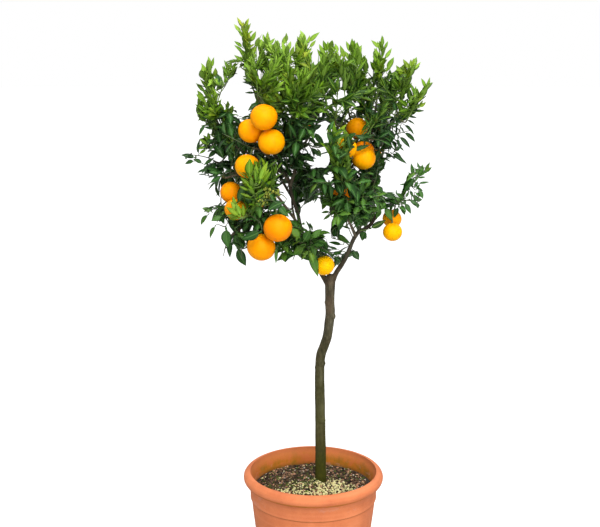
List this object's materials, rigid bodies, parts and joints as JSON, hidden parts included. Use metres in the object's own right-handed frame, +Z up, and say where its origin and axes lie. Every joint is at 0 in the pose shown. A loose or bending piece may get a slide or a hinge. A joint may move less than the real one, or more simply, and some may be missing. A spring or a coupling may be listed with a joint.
{
  "type": "potted bitter orange tree",
  "caption": "Bitter orange tree trained as a standard on a bent trunk, with ripe fruit and upright young shoots, in a round terracotta pot.",
  "frame": {"origin": "centre of the pot's underside", "axes": "+Z up along the pot's axis, towards the crown; the front of the tree, which the picture shows, faces -Y"},
  "size_m": [0.7504, 0.5238, 1.633],
  "materials": {
    "terracotta": "unglazed, matt, lightly stained inside",
    "soil": "rough moist potting mix with pale granules",
    "bark": "fine grey-brown bark, greenish at the foot",
    "peel": "satin, fine pores",
    "leaf_young": "glossy, bright green",
    "leaf_old": "glossy, dark green"
  },
  "bodies": {
    "root": {"pot": "terracotta", "soil": "soil", "wood": "bark", "orange_01": "peel", "orange_02": "peel", "orange_03": "peel", "orange_04": "peel", "orange_05": "peel", "orange_06": "peel", "orange_07": "peel", "orange_08": "peel", "orange_09": "peel", "orange_10": "peel", "orange_11": "peel", "orange_12": "peel", "orange_13": "peel", "orange_14": "peel", "orange_15": "peel", "orange_16": "peel", "orange_17": "peel", "orange_18": "peel", "orange_19": "peel", "orange_20": "peel", "spray_01": "leaf_young", "spray_02": "leaf_young", "spray_03": "leaf_young", "spray_04": "leaf_young", "spray_05": "leaf_young", "spray_06": "leaf_young", "spray_07": "leaf_young", "spray_08": "leaf_young", "spray_09": "leaf_young", "spray_10": "leaf_young", "spray_11": "leaf_young", "spray_12": "leaf_young", "spray_13": "leaf_young", "spray_14": "leaf_young", "spray_15": "leaf_young", "spray_16": "leaf_young", "spray_17": "leaf_old", "spray_18": "leaf_old", "spray_19": "leaf_old", "spray_20": "leaf_old", "spray_21": "leaf_old", "spray_22": "leaf_young", "spray_23": "leaf_old", "spray_24": "leaf_old", "spray_25": "leaf_old", "spray_26": "leaf_old", "spray_27": "leaf_young", "spray_28": "leaf_old", "spray_29": "leaf_young", "spray_30": "leaf_old", "spray_31": "leaf_old", "spray_32": "leaf_old", "spray_33": "leaf_young", "spray_34": "leaf_young", "spray_35": "leaf_young", "spray_36": "leaf_old", "spray_37": "leaf_old"}
  },
  "joints": []
}
